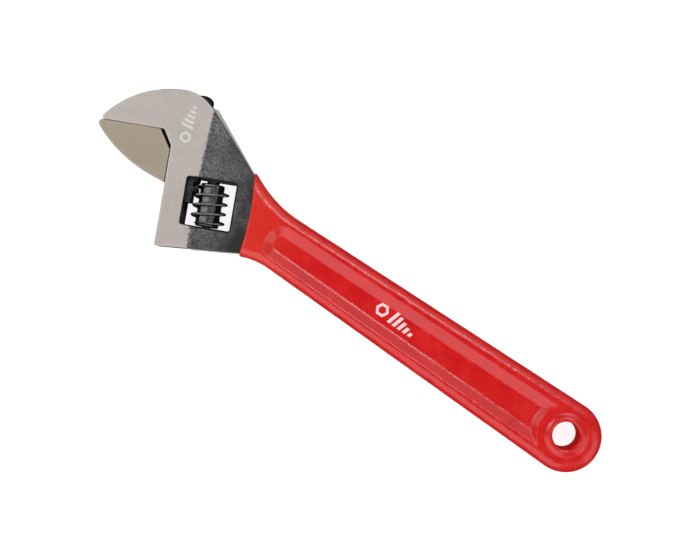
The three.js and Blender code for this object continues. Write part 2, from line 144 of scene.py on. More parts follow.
# %% A net over a field
def net_over(field, xs, ys, zs, lean=0.0, origin=(0.0, 0.0)):
    """Vertices and quads where the field changes sign on a grid of points. Each grid cell that the
    surface passes through gets one vertex, at the mean of the crossings on its edges, and each grid
    edge that it crosses gets a quad between the four cells round it. The vertices then slide down the
    field's slope onto the surface. lean and origin place the grid in the head frame."""
    turn = np.array([[math.cos(lean), math.sin(lean), 0], [-math.sin(lean), math.cos(lean), 0], [0, 0, 1]])
    shift = np.array([*origin, 0.0])

    def at(x, y, z):
        return field(*(turn[i, 0] * x + turn[i, 1] * y + shift[i] for i in (0, 1)), z)

    axes = (xs, ys, zs)
    value = np.ascontiguousarray(at(xs[:, None, None], ys[None, :, None], zs[None, None, :]))
    within = value < 0
    corners = sum(
        within[i : len(xs) - 1 + i, j : len(ys) - 1 + j, k : len(zs) - 1 + k].astype(np.int8)
        for i in (0, 1) for j in (0, 1) for k in (0, 1)
    )
    cells = (corners > 0) & (corners < 8)
    number = np.full(cells.shape, -1)
    number[cells] = np.arange(cells.sum())
    total, hits, quads = np.zeros((cells.sum(), 3)), np.zeros(cells.sum()), []
    for axis in range(3):
        side_a, side_b = (axis + 1) % 3, (axis + 2) % 3
        low = np.take(value, range(value.shape[axis] - 1), axis)
        high = np.take(value, range(1, value.shape[axis]), axis)
        where = np.array(np.nonzero((low < 0) != (high < 0)))
        inner = (where[side_a] > 0) & (where[side_b] > 0)
        inner &= (where[side_a] < value.shape[side_a] - 1) & (where[side_b] < value.shape[side_b] - 1)
        where = where[:, inner]
        first, second = low[tuple(where)], high[tuple(where)]
        point = np.stack([axes[i][where[i]] for i in range(3)], axis=1)
        step = axes[axis][where[axis] + 1] - axes[axis][where[axis]]
        point[:, axis] += step * first / (first - second)
        around = []
        for a, b in ((0, 0), (-1, 0), (-1, -1), (0, -1)):
            cell = where.copy()
            cell[side_a] += a
            cell[side_b] += b
            around.append(number[tuple(cell)])
            np.add.at(total, around[-1], point)
            np.add.at(hits, around[-1], 1)
        quad = np.stack(around, axis=1)
        quads.append(np.where((first < 0)[:, None], quad, quad[:, ::-1]))
    place = total / hits[:, None]
    tiny, gentlest, longest = 0.02, 0.25, 0.3
    for _ in range(3):
        now = at(*place.T)
        slope = np.stack([(at(*(place + tiny * e).T) - now) / tiny for e in np.eye(3)], axis=1)
        step = slope * (now / np.maximum((slope ** 2).sum(1), gentlest))[:, None]
        place -= np.clip(step, -longest, longest)
    place, quads = part_sheets(place, np.concatenate(quads))
    return place @ turn.T + shift, quads


def part_sheets(place, quads):
    """Where two sheets of the net share an edge, this gives each its own vertex, drawn a little towards
    its own side, so that each edge has just two faces."""
    edges = np.sort(np.stack([quads, np.roll(quads, -1, axis=1)], axis=2).reshape(-1, 2), axis=1)
    pairs, count = np.unique(edges, axis=0, return_counts=True)
    for corner in np.unique(pairs[count > 2]):
        faces = np.nonzero((quads == corner).any(axis=1))[0]
        spot = np.argmax(quads[faces] == corner, axis=1)
        ends = np.stack([quads[faces, spot - 1], quads[faces, (spot + 1) % 4]], axis=1)
        sheet = np.arange(len(faces))
        for end in np.unique(ends):
            pair = np.nonzero((ends == end).any(axis=1))[0]
            if len(pair) == 2:
                sheet[sheet == sheet[pair[1]]] = sheet[pair[0]]
        for other in np.unique(sheet)[1:]:
            mine = sheet == other
            quads[faces[mine], spot[mine]] = len(place)
            moved = place[corner] * 0.9 + place[ends[mine]].mean(axis=(0, 1)) * 0.1
            place = np.append(place, moved[None], axis=0)
    return place, quads


def graded(*stretches):
    """Grid lines along one axis: each stretch is (start, end, spacing)."""
    lines = [np.linspace(a, b, max(2, round((b - a) / step) + 1))[:-1] for a, b, step in stretches]
    return np.append(np.concatenate(lines), stretches[-1][1])


# %% From arrays to a piece
def quads_over(rows, columns, closed=True):
    """Quads over a grid of points, closed round its columns, and round its rows too unless told
    otherwise."""
    i, j = np.meshgrid(np.arange(rows if closed else rows - 1), np.arange(columns), indexing="ij")
    k, m = (i + 1) % rows, (j + 1) % columns
    corners = [i * columns + j, i * columns + m, k * columns + m, k * columns + j]
    return np.stack(corners, axis=-1).reshape(-1, 4)


def in_scene(name, data):
    """A new object in the scene, at the origin."""
    made = bpy.data.objects.new(name, data)
    bpy.context.scene.collection.objects.link(made)
    return made


def piece(name, vertices, faces, body, material, nodes=(), smooth=True):
    """A mesh object at the origin whose vertices, given in head millimetres, lie in the row's frame. It
    rides on a body, and stands for the CAD nodes named."""
    matrix = np.array(to_row)
    mesh = bpy.data.meshes.new(name)
    mesh.from_pydata((vertices @ matrix[:3, :3].T + matrix[:3, 3]).tolist(), [], faces.tolist())
    if smooth:
        mesh.shade_smooth()
    mesh.materials.append(material)
    made = in_scene(name, mesh)
    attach(made, body)
    if nodes:
        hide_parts(*nodes)
    print(name, len(vertices), "vertices,", len(faces), "faces")
    return made


# %% [markdown]
# ## Finishes
# Small functions add, set and link the nodes. Every pattern is drawn in millimetres on the piece itself:
# the mapping turns the model's metres into the head frame, so a scale of 1 is one cycle per millimetre.

# %% Node helpers
def linear(hex_colour):
    """An sRGB hex colour as the linear values that a shader works in."""
    channels = [int(hex_colour[i : i + 2], 16) / 255 for i in (1, 3, 5)]
    return [c / 12.92 if c <= 0.04045 else ((c + 0.055) / 1.055) ** 2.4 for c in channels] + [1.0]


def fill(tree, node, inputs):
    """Sets a node's inputs to values or hex colours, or links other nodes' outputs into them."""
    for key, value in inputs.items():
        if isinstance(value, bpy.types.NodeSocket):
            tree.links.new(value, node.inputs[key])
        else:
            node.inputs[key].default_value = linear(value) if isinstance(value, str) else value


def add(tree, kind, inputs=None, **settings):
    """Adds one node, sets its attributes and fills its inputs."""
    made = tree.nodes.new(kind)
    for key, value in settings.items():
        setattr(made, key, value)
    fill(tree, made, inputs or {})
    return made


def parts(tree, vector):
    """The x, y and z of a vector."""
    return add(tree, "ShaderNodeSeparateXYZ", {"Vector": vector}).outputs


def new_material(name):
    material = bpy.data.materials.new(name)
    material.use_nodes = True
    tree = material.node_tree
    return material, tree, tree.nodes["Principled BSDF"]


def head_millimetres(tree, stretch=(1, 1, 1)):
    """The point in the head frame in millimetres, each axis divided by its stretch."""
    here = add(tree, "ShaderNodeTexCoord").outputs["Object"]
    place = add(tree, "ShaderNodeMapping", {"Vector": here, "Location": to_row.inverted().translation,
                "Rotation": (0, 0, -LEAN), "Scale": (1000, 1000, 1000)}).outputs[0]
    if stretch == (1, 1, 1):
        return place
    return add(tree, "ShaderNodeMapping", {"Vector": place, "Scale": [1 / s for s in stretch]}).outputs[0]


def noise(tree, where, scale, detail, roughness):
    """Noise, about one lump per 1 / scale millimetres."""
    inputs = {"Vector": where, "Scale": scale, "Detail": detail, "Roughness": roughness}
    return add(tree, "ShaderNodeTexNoise", inputs).outputs["Fac"]


def ramp(tree, value, low, high, to_low=0.0, to_high=1.0, smooth=False):
    """The value from low to high carried over to another range, and held at its ends."""
    ends = {"Value": value, "From Min": low, "From Max": high, "To Min": to_low, "To Max": to_high}
    kind = "SMOOTHSTEP" if smooth else "LINEAR"
    return add(tree, "ShaderNodeMapRange", ends, interpolation_type=kind).outputs["Result"]


def blended(tree, share, first, second, kind="RGBA"):
    """A mix of two colours or values by share. The mix node numbers its sockets by what they carry."""
    a, b, result = {"RGBA": (6, 7, 2), "FLOAT": (2, 3, 0)}[kind]
    return add(tree, "ShaderNodeMix", {0: share, a: first, b: second}, data_type=kind).outputs[result]


def maths(tree, operation, a, b=0.0):
    return add(tree, "ShaderNodeMath", {0: a, 1: b}, operation=operation).outputs[0]


def without(tree, a, b):
    """Value a where b is 0, fading to nothing where b is 1."""
    return maths(tree, "MULTIPLY", a, maths(tree, "SUBTRACT", 1.0, b))


def off_middle(tree, value, low, high):
    """How far a value is from the middle of a range: 1 at either end."""
    from_middle = maths(tree, "SUBTRACT", value, (low + high) / 2)
    return maths(tree, "ABSOLUTE", maths(tree, "DIVIDE", from_middle, (high - low) / 2))


def bump(tree, height):
    """A normal from a height in millimetres."""
    return add(tree, "ShaderNodeBump", {"Height": height, "Distance": 0.001, "Strength": 1.0}).outputs[0]


# %% [markdown]
# ### Ground chrome-vanadium steel
# The working faces of the head and the jaw are surface ground after forging and then plated, which
# leaves fine straight lines and a soft satin gloss. Long thin noise, stretched along the grinding
# direction, gives the lines, both in the roughness and as a very shallow bump.

# %% Ground steel
GRIND_LINE = 0.16  # spacing of the grinding lines, coarser than real grit so that they show


def ground_shade(tree, colours):
    """Colour, roughness and height of a ground face, whose lines run along x."""
    lines = noise(tree, head_millimetres(tree, (24, 1, 24)), 1 / GRIND_LINE, 4, 0.7)
    bands = noise(tree, head_millimetres(tree, (6, 1, 6)), 0.35, 2, 0.5)
    cloud = noise(tree, head_millimetres(tree), 0.12, 3, 0.5)
    light, dark, warm = colours
    tint = blended(tree, ramp(tree, lines, 0.3, 0.7), dark, light)
    tint = blended(tree, ramp(tree, cloud, 0.35, 0.7, 0.0, 0.25), tint, warm)
    rough = ramp(tree, lines, 0.3, 0.7, 0.46, 0.54)
    rough = maths(tree, "ADD", rough, ramp(tree, bands, 0.3, 0.7, -0.03, 0.03))
    height = maths(tree, "ADD", maths(tree, "MULTIPLY", lines, 0.006), maths(tree, "MULTIPLY", bands, 0.004))
    return tint, rough, height


# the paler lines, the darker lines, and the warm cloud over both
HEAD_COLOURS = ("#D2CBC6", "#B7B0AA", "#C2B8AF")
JAW_COLOURS = ("#BAAF9F", "#A69A89", "#AD9F8B")

# %% [markdown]
# ### The forging's two finishes
# The forged shank keeps its blackened, grainy skin: a shallow bump of about a millimetre's grain with
# lighter grains where the skin is worn. Where the grinding wheel ran out it only touched the high
# grains, so the border between the two is a band of bright specks rather than a line.

# %% Forging material
FORGED_GRAIN = 0.7  # grain of the forged skin in millimetres


def forged_shade(tree):
    """Colour, roughness and height of the blackened forged skin."""
    where = head_millimetres(tree)
    x, y, _ = parts(tree, where)
    grain = noise(tree, where, 1 / FORGED_GRAIN, 4, 0.7)
    coarse = noise(tree, where, 0.9, 3, 0.6)
    patches = noise(tree, where, 0.13, 2, 0.5)
    tint = blended(tree, ramp(tree, grain, 0.36, 0.66), "#303031", "#868688")
    tint = blended(tree, ramp(tree, coarse, 0.55, 0.75, 0.0, 0.5), tint, "#A8A8AA")
    dim = maths(tree, "ADD", ramp(tree, x, 18, 36, 0.0, 0.6), ramp(tree, patches, 0.4, 0.65, 0.0, 0.35))
    dim = maths(tree, "ADD", dim, ramp(tree, y, -36, -26, 0.3, 0.0))
    tint = blended(tree, dim, tint, "#262627")
    pits = ramp(tree, noise(tree, where, 1.3, 3, 0.6), 0.5, 0.6)
    pits = maths(tree, "MULTIPLY", pits, ramp(tree, x, 15, 21, 1.0, 0.0))
    tint = blended(tree, pits, tint, "#1C1B1C")
    rough = ramp(tree, grain, 0.3, 0.7, 0.36, 0.55)
    height = maths(tree, "ADD", maths(tree, "MULTIPLY", grain, 0.17), maths(tree, "MULTIPLY", coarse, 0.2))
    return tint, rough, height


def forging_material():
    """Drop-forged chrome-vanadium steel, ground on the head and blackened elsewhere."""
    material, tree, shader = new_material("ground_and_blackened_forging")
    where = head_millimetres(tree)
    x, y, z = parts(tree, where)

    # the ground face ends in a ragged border, and bright grains stand beyond it
    speck = noise(tree, where, 1.1, 4, 0.7)
    ragged = maths(tree, "MULTIPLY", ramp(tree, speck, 0.3, 0.7, -1.0, 1.0), 0.8)
    reach = maths(tree, "ADD", ragged, ramp(tree, y, -10, 21, 0.0, 1.8))
    border = maths(tree, "SUBTRACT", maths(tree, "ADD", reach, GROUND_WIDTH), x)
    on_face = ramp(tree, border, -0.35, 0.15, smooth=True)
    limit = ramp(tree, x, GROUND_WIDTH, GROUND_WIDTH + 5, 0.42, 0.80)
    worn = ramp(tree, maths(tree, "SUBTRACT", noise(tree, where, 2.2, 3, 0.7), limit), 0.0, 0.12)
    on_face = maths(tree, "MAXIMUM", on_face, maths(tree, "MULTIPLY", worn, 0.65))

    # the outer walls are ground on the head and trimmed of their flash on the shank
    face = ramp(tree, x, GROUND_WIDTH, TAPER_END, HEAD_THICK / 2, HANDLE_THICK / 2)
    below_face = maths(tree, "SUBTRACT", face, maths(tree, "ABSOLUTE", z))
    wall = ramp(tree, below_face, 0.6, 0.9)
    on_shank = ramp(tree, x, GROUND_WIDTH - 1, GROUND_WIDTH + 1)
    trimmed = maths(tree, "MULTIPLY", wall, on_shank)
    trimmed = maths(tree, "MULTIPLY", trimmed, ramp(tree, speck, 0.35, 0.5, 0.75, 1.0))
    ground = maths(tree, "MAXIMUM", without(tree, on_face, wall), without(tree, wall, on_shank))

    # the window and the bores keep the blackened skin; round the window's rim the skin is also painted near
    # black, as painted shade
    window = maths(tree, "MAXIMUM", off_middle(tree, x, WINDOW_LEFT, WINDOW_RIGHT),
                   off_middle(tree, y, WINDOW_BOTTOM, WINDOW_TOP))
    near_window = ramp(tree, window, 1.1, 1.16, 1.0, 0.0)
    in_window = maths(tree, "MULTIPLY", ramp(tree, below_face, 0.02, 0.14), near_window)
    bore = ramp(tree, add(tree, "ShaderNodeAttribute", attribute_name="bored").outputs["Fac"], 0.4, 0.6)
    ground = without(tree, without(tree, ground, in_window), bore)

    head = ground_shade(tree, HEAD_COLOURS)
    skin = forged_shade(tree)
    skin_or_trim = blended(tree, trimmed, skin[0], "#BEBEBA")
    # painted shade: round the window's rim the skin goes to near black, partly the blackened skin and partly
    # painted shade
    black = blended(tree, maths(tree, "MULTIPLY", in_window, 0.9), skin_or_trim, "#060607")
    metal = ramp(tree, ground, 0, 1, 0.55, 1.0)
    fill(tree, shader, {
        "Base Color": blended(tree, ground, black, head[0]),
        "Roughness": blended(tree, ground, skin[1], head[1], "FLOAT"),
        "Metallic": maths(tree, "SUBTRACT", metal, maths(tree, "MULTIPLY", trimmed, 0.4)),
        "Normal": bump(tree, blended(tree, ground, skin[2], head[2], "FLOAT")),
    })
    return material


def jaw_material():
    """The movable jaw: ground faces, with a blackened rack and neck."""
    material, tree, shader = new_material("ground_jaw_with_black_rack")
    ground = ramp(tree, parts(tree, head_millimetres(tree))[0], -0.2, 0.0, 1.0, 0.0)
    head, skin = ground_shade(tree, JAW_COLOURS), forged_shade(tree)
    dark = blended(tree, 0.6, skin[0], "#0E0E10")
    height = blended(tree, ground, maths(tree, "MULTIPLY", skin[2], 0.4), head[2], "FLOAT")
    fill(tree, shader, {
        "Base Color": blended(tree, ground, dark, head[0]),
        "Roughness": blended(tree, ground, skin[1], head[1], "FLOAT"),
        "Metallic": ramp(tree, ground, 0, 1, 0.7, 1.0),
        "Normal": bump(tree, height),
    })
    return material


# %% [markdown]
# ### Black oxide, spring wire and dipped vinyl
# The worm and its axle screw are blackened in hot oxide and oiled: nearly black, with a soft sheen and
# grey where the ribs are rubbed. The grip is PVC plastisol: the handle is dipped hot and the skin
# flows, so it is glossy and a little uneven, like orange peel a few millimetres across.

# %% Small-part and grip materials
def black_oxide_material():
    material, tree, shader = new_material("black_oxide_on_steel")
    where = head_millimetres(tree)
    rub, grain = noise(tree, where, 0.8, 3, 0.6), noise(tree, where, 4.0, 3, 0.6)
    tint = blended(tree, ramp(tree, rub, 0.45, 0.75, 0.0, 0.7), "#58585A", "#8E8E90")
    beside = add(tree, "ShaderNodeVectorMath", {0: where, 1: (1, 0, 1)}, operation="MULTIPLY").outputs[0]
    from_axis = add(tree, "ShaderNodeVectorMath", {0: beside, 1: (WORM_X, 0, 0)}, operation="DISTANCE")
    rim = ramp(tree, from_axis.outputs["Value"], WORM_R - 0.6, WORM_R - 0.1)
    rubbed = maths(tree, "MULTIPLY", rim, ramp(tree, grain, 0.3, 0.6, 0.5, 0.9))
    fill(tree, shader, {
        "Base Color": blended(tree, rubbed, tint, "#909092"),
        "Roughness": ramp(tree, grain, 0.3, 0.7, 0.18, 0.34),
        "Normal": bump(tree, maths(tree, "MULTIPLY", grain, 0.03)),
        "Metallic": 1.0,
    })
    return material


def spring_wire_material():
    material, tree, shader = new_material("drawn_spring_steel_wire")
    lines = noise(tree, head_millimetres(tree, (1, 6, 1)), 5.0, 2, 0.5)
    tint = blended(tree, lines, "#4A4B4E", "#8C8D90")
    rough = ramp(tree, lines, 0.3, 0.7, 0.25, 0.4)
    fill(tree, shader, {"Base Color": tint, "Roughness": rough, "Metallic": 1.0})
    return material


def vinyl_material():
    """Red PVC plastisol: a glossy skin that flowed as it set. It reflects less down in the hang hole."""
    material, tree, shader = new_material("dipped_pvc_plastisol")
    where = head_millimetres(tree)
    flow = noise(tree, where, 0.16, 2, 0.5)
    peel = noise(tree, where, 0.55, 2, 0.45)
    specks = noise(tree, where, 3.2, 2, 0.5)
    tint = blended(tree, ramp(tree, flow, 0.3, 0.7), "#C60A0E", "#D11514")
    tint = blended(tree, ramp(tree, specks, 0.66, 0.8, 0.0, 0.35), tint, "#AA080A")
    # painted sheen: towards the front edge the red is painted paler and more orange, where the coat catches
    # the light
    painted_front_sheen = ramp(tree, parts(tree, where)[0], 46, 64, 0.9, 0.0)
    height = maths(tree, "ADD", maths(tree, "MULTIPLY", flow, 0.3), maths(tree, "MULTIPLY", peel, 0.07))
    flat = add(tree, "ShaderNodeVectorMath", {0: where, 1: (1, 1, 0)}, operation="MULTIPLY").outputs[0]
    middle = (*hole_centre, 0)
    radius = add(tree, "ShaderNodeVectorMath", {0: flat, 1: middle}, operation="DISTANCE").outputs["Value"]
    fill(tree, shader, {
        "Base Color": blended(tree, painted_front_sheen, tint, "#D32A1E"),
        "Roughness": ramp(tree, flow, 0.3, 0.7, 0.2, 0.3),
        "Normal": bump(tree, height),
        "IOR": 1.5,
        "Specular IOR Level": ramp(tree, radius, HANG_HOLE_R + 0.1, HANG_HOLE_R + 0.5, 0.05, 0.5),
        "Subsurface Weight": 0.04,
        "Subsurface Radius": (0.001, 0.0003, 0.0003),
    })
    return material


def ink_material():
    """Pale pad-printed ink on the vinyl, a little thin in places."""
    material, tree, shader = new_material("pale_printing_ink")
    thin = noise(tree, head_millimetres(tree), 1.5, 3, 0.6)
    tint = blended(tree, ramp(tree, thin, 0.55, 0.75, 0.0, 0.6), "#F0D3D6", "#DE8A8E")
    fill(tree, shader, {"Base Color": tint, "Roughness": 0.45})
    return material


def etch_material():
    """Electro-etched steel: the same metal, frosted paler."""
    material, tree, shader = new_material("etched_steel")
    frost = noise(tree, head_millimetres(tree), 3.0, 3, 0.6)
    tint = blended(tree, frost, "#C9C5C1", "#DBD8D5")
    fill(tree, shader, {"Base Color": tint, "Metallic": 0.3, "Roughness": 0.6})
    return material


forging_finish, jaw_finish, oxide_finish = forging_material(), jaw_material(), black_oxide_material()
wire_finish, vinyl_finish = spring_wire_material(), vinyl_material()

# %% [markdown]
# ## The outline of the forging
# Seen from above the forging is arcs and straight runs: the fixed jaw's round back, the shoulder, the
# straight shank, a blend into the widening handle, its round end, and back along the lower edge to the
# foot of the slideway. A drawn outline gives every later cut and coat something to measure from, so it
# is worked out once, with a value for how far outside the steel it runs.

# %% Outline
def arc(centre, radius, start, end, count):
    """Points on a circle from one angle to another, in degrees."""
    a = np.radians(np.linspace(start, end, count))
    return np.array(centre) + radius * np.stack([np.cos(a), np.sin(a)], axis=1)


def meet(p, d, q, e):
    """Where the line from p along d crosses the line from q along e."""
    return p + d * ((q[0] - p[0]) * e[1] - (q[1] - p[1]) * e[0]) / (d[0] * e[1] - d[1] * e[0])


def eased(start, corner, end, count=12):
    """The parabola that leaves start towards the corner and arrives at end from it."""
    t = np.linspace(0, 1, count)[:, None]
    return (1 - t) ** 2 * start + 2 * t * (1 - t) * corner + t ** 2 * end


def unit(x, y):
    return np.array([x, y]) / math.hypot(x, y)


def on_handle(x, y):
    """A point given along and across the handle from the hang hole, in the head frame."""
    return to_head @ (x, y) + hole_centre


def plan_outline(out):
    """The forging's outline, out millimetres outside the steel from the shoulder round to the heel."""
    back = (BACK_TOP_X, BACK_TOP - BACK_R)
    nose = 180 - math.degrees(math.asin((JAW_HEIGHT + JAW_NOSE - back[1]) / BACK_R))
    shank_end = 90 - math.degrees(SHANK_SLOPE)
    shoulder = arc((BACK_TOP_X, BACK_TOP - SHOULDER_R), SHOULDER_R + out, 90, shank_end, 16)
    shank = unit(math.cos(SHANK_SLOPE), -math.sin(SHANK_SLOPE))
    run, widening = NARROW_TO_HOLE + END_BEYOND_HOLE, HANDLE_END_HALF - HANDLE_NECK_HALF
    upper, lower = to_head @ unit(run, widening), to_head @ unit(-run, widening)
    half, lean = HANDLE_NECK_HALF + out, math.degrees(LEAN)
    top = meet(shoulder[-1], shank, on_handle(-NARROW_TO_HOLE, half - HANDLE_DROP), upper)
    heel, sole = np.array([0, -SLIDEWAY - out]), unit(-HEEL_RUN, -HEEL_RISE)
    bottom = meet(heel, sole, on_handle(-NARROW_TO_HOLE, -half - HANDLE_DROP), lower)
    return np.concatenate([
        [(0, THROAT_START), (-THROAT_RUN, JAW_HEIGHT), (-JAW_REACH, JAW_HEIGHT)],
        arc(back, BACK_R, nose, 90, 24),
        shoulder[1:],
        eased(top - shank * NECK_BLEND_TOP, top, top + upper * NECK_BLEND_TOP),
        arc(on_handle(END_BEYOND_HOLE, -HANDLE_DROP), HANDLE_END_HALF + out, 90 - lean, -90 - lean, 40),
        eased(bottom - lower * NECK_BLEND_BOTTOM, bottom, bottom + sole * NECK_BLEND_BOTTOM),
        [heel],
    ])


steel_outline, vinyl_outline = plan_outline(0), plan_outline(VINYL)
print("outline of the forging:", len(steel_outline), "points")

# %% [markdown]
# ## The faces of the forging and of the dip
# The ground head is flat. Behind the ground flat the forged face falls away to the handle. Along the
# handle a long hollow runs on both faces, whose wall is a straight slope that starts and ends in a
# curve. Round the hang hole a ring stands a little above the face. A height worked out from the place
# in plan gives all of it, and the dip follows the steel a little rounder.

# %% Half thickness
SIDE_WALL = RECESS_WALL - 1  # plan width of the hollow's wall along its sides, in the steel
END_WALL = 3.9  # and at the end near the hang hole
COAT_SHARE = 1.25  # the coat takes this share of its own thickness from each side of the hollow's floor
BOSS_TOP_R, BOSS_FOOT_R, BOSS_RISE = 6.8, 9.5, 1.1  # the raised ring round the hang hole
NECK_SQUEEZE = 1.3  # the hollow's round end at the neck is this much shorter than a half circle
RECESS_DROP = 1.0  # the hollow lies this much below the line through the hang hole
FOOT, BROW = 0.3, 0.2  # shares of the hollow's wall that curve at its foot and at its brow
FALL_BLEND = 0.3  # how softly the falling face meets the handle's face


def half_thickness(x, y, out, lip):
    """Height of the upper face above the middle plane, out millimetres above the steel: the head's flat
    and the fall behind it, less the hollow, with the ring round the hang hole and the hole's round lip."""
    fall = HEAD_THICK / 2 - (x - GROUND_WIDTH) * (HEAD_THICK - HANDLE_THICK) / 2 / (TAPER_END - GROUND_WIDTH)
    face = FALL_BLEND * np.logaddexp(fall / FALL_BLEND, HANDLE_THICK / 2 / FALL_BLEND)
    face = np.minimum(face, HEAD_THICK / 2) + out

    px, py = x - hole_centre[0], y - hole_centre[1]
    along, across = math.cos(LEAN) * px - math.sin(LEAN) * py, math.sin(LEAN) * px + math.cos(LEAN) * py
    radius = np.hypot(px, py)
    far, near = RECESS_NECK_HALF - RECESS_TO_HOLE, RECESS_FROM_HOLE + out
    half = np.interp(along, [far, -near], [RECESS_NECK_HALF, RECESS_END_HALF]) - out * COAT_SHARE
    wall = np.hypot(np.maximum(far - along, 0) * NECK_SQUEEZE, across + RECESS_DROP) - half
    wall = np.maximum(wall / (SIDE_WALL + out), (near - radius) / END_WALL)
    wall = np.maximum(wall, np.where(along > 0, 1.0, 0.0))
    wall = np.clip(wall, 0, 1)
    fillet, rest = np.minimum(wall, FOOT), np.maximum(wall - 1 + BROW, 0)
    climb = fillet ** 2 / (2 * FOOT) + np.maximum(wall - FOOT, 0) - rest ** 2 / (2 * BROW)
    hollow = RECESS_DEPTH * (1 - climb / (1 - FOOT / 2 - BROW / 2))
    foot = np.clip((BOSS_FOOT_R - radius) / (BOSS_FOOT_R - BOSS_TOP_R), 0, 1)
    boss = BOSS_RISE * foot ** 2 * (3 - 2 * foot)
    inward = np.clip(1 - (radius - STEEL_HOLE_R + out) / lip, 0, 1)
    return face + boss - hollow - lip * (1 - np.sqrt(1 - inward ** 2))


# %% [markdown]
# ## The forging
# One field holds the whole forging: the outline and the faces with an edge between them that is crisp
# where the head is ground and soft where it is forged, then the window for the worm, the keyhole
# slideway for the rack, and the bore for the axle screw.

# %% Forging
CRISP, SOFT = 0.2, 0.9  # edge radii on the ground and the forged steel
GROUND_RIM, WINDOW_RIM = 0.6, 1.3  # the window's edge is rounder where the face is forged
WINDOW_CORNER, BORE_RIM, STEEL_LIP = 0.8, 0.25, 0.5
UPPER_FLANK = (13.8, 16.6, 36, 42), (0, 1.7, 0.6, 0)  # places along x, and how far the side stands out there
LOWER_FLANK = (13, 16, 30, 42), (0, 0.5, 0.5, 0)
FORGING_FINE, FORGING_COARSE = 0.42, 1.1  # spacing of the net in the open and under the grip


def flank(x, y, z):
    """How far the forged sides stand out at the parting line: a parabola across the thickness, from just
    behind the ground shoulder, falling towards the grip. The lower side stands out less."""
    out = np.where(y > WINDOW_TOP, np.interp(x, *UPPER_FLANK), np.interp(x, *LOWER_FLANK))
    return out * np.clip(1 - (z / (HEAD_THICK / 2)) ** 2, 0, 1)


def forging_field(x, y, z):
    """The plan outline and the half thickness, less the window, the slideway and the bores."""
    soft = np.interp(x, [GROUND_WIDTH, TAPER_END], [CRISP, SOFT])
    plan = inside_outline(x, y, steel_outline) - flank(x, y, z)
    steel = both(plan, np.abs(z) - half_thickness(x, y, 0, STEEL_LIP), soft)
    window = box(x, y, WINDOW_LEFT, WINDOW_RIGHT, WINDOW_BOTTOM, WINDOW_TOP, WINDOW_CORNER)
    rim = np.interp(x, [GROUND_WIDTH - 4, GROUND_WIDTH + 2], [GROUND_RIM, WINDOW_RIM])
    steel = cut(steel, window, rim)
    keyhole = np.hypot(x - ROD_X, z) - ROD_R - BORE_GAP
    slot = np.maximum(box(x, y, -9, ROD_X, -99, THROAT_START), np.abs(z) - NECK_THICK / 2 - SLIDE_GAP)
    steel = cut(steel, np.minimum(keyhole, slot), BORE_RIM)
    screw = np.hypot(x - WORM_X, z)
    screw_hole = np.maximum(screw - PIN_R - PIN_GAP, y - pin_top - PIN_GAP)
    screw_seat = np.maximum(screw - PIN_HEAD_R - PIN_GAP, y - pin_bottom - PIN_HEAD - PIN_GAP)
    steel = cut(steel, np.minimum(screw_hole, screw_seat), BORE_RIM)
    return np.maximum(steel, STEEL_HOLE_R - np.hypot(x - hole_centre[0], y - hole_centre[1]))


def bored(x, y, z):
    """1 in the slideway's keyhole and the screw's bore, where the blackened skin is left, else 0."""
    keyhole, seat = np.hypot(x - ROD_X, z) - ROD_R - BORE_GAP, np.hypot(x - WORM_X, z) - PIN_HEAD_R - PIN_GAP
    slot = (np.abs(z) < NECK_THICK / 2 + SLIDE_GAP + 0.1) & (x > 0.2) & (x < ROD_X)
    return ((np.minimum(keyhole, seat) < 0.12) | slot).astype(float)


half = HEAD_THICK / 2
vertices, quads = net_over(
    forging_field,
    graded((-32, 42, FORGING_FINE), (42, 206, FORGING_COARSE)),
    graded((-107, -42, FORGING_COARSE), (-42, 8, FORGING_FINE), (8, 9.2, 0.13), (9.2, 28, FORGING_FINE)),
    graded((-half - 0.4, -half + 0.6, 0.2), (-half + 0.6, half - 0.6, 0.46), (half - 0.6, half + 0.4, 0.2)),
)
forging = piece("forged_body", vertices, quads, "root", forging_finish, ("body",))
forging.data.attributes.new("bored", "FLOAT", "POINT").data.foreach_set("value", bored(*vertices.T))

# %% [markdown]
# ## The dipped grip
# The real grip is made by dipping the warm handle into liquid vinyl, so it is a coat: the same shape a
# little larger, softer at every edge, lining the hang hole too. The field of the coat is the outline
# and faces again, 1.4 mm out and well rounded, less the steel inside it. Its front edge is where the
# dip stopped, a shallow arc across the neck, rolled over a little.

# %% Grip
ROLLED, LIP = 4.4, 1.3  # radii of the coat's outer edge and of its lip at the hang hole
INNER_EDGE = 1.5  # the coat is thicker at the steel's edges
FRONT_ROLL, LUMPS = 0.7, 0.03  # the front edge's radius, and the height of the coat's slow waves
BEDDED = 0.1  # the coat reaches this far into the steel, so that no gap shows at its front edge


def grip_field(x, y, z):
    """The coat: the outline and faces VINYL out, less the steel and all in front of the dip line."""
    lumps = LUMPS * np.sin(0.31 * x + 0.5 * np.sin(0.27 * y)) * np.sin(0.23 * y + 1.3)
    from_hole = np.hypot(x - hole_centre[0], y - hole_centre[1])
    top = np.abs(z) - half_thickness(x, y, VINYL, LIP)
    outside = both(inside_outline(x, y, vinyl_outline), top, ROLLED)
    outside = np.maximum(outside, HANG_HOLE_R - from_hole) + lumps
    top = np.abs(z) - half_thickness(x, y, 0, STEEL_LIP)
    steel = both(inside_outline(x, y, steel_outline), top, INNER_EDGE) + BEDDED
    steel = np.maximum(steel, STEEL_HOLE_R - from_hole)
    front = np.hypot(x - GRIP_FRONT + GRIP_FRONT_R, y - GRIP_FRONT_Y) - GRIP_FRONT_R
    return np.maximum(both(outside, -front, FRONT_ROLL), -steel)


half = HANDLE_THICK / 2 + VINYL
vertices, quads = net_over(
    grip_field,
    graded((-186, -146, 0.6), (-146, -22, 0.9), (-22, 17.5, 0.5)),
    graded((-32.2, 21, 0.5)),
    graded((-half - 1.6, half + 1.6, 0.43)),
    LEAN,
    hole_centre,
)
piece("dipped_grip", vertices, quads, "root", vinyl_finish, ("grip",))

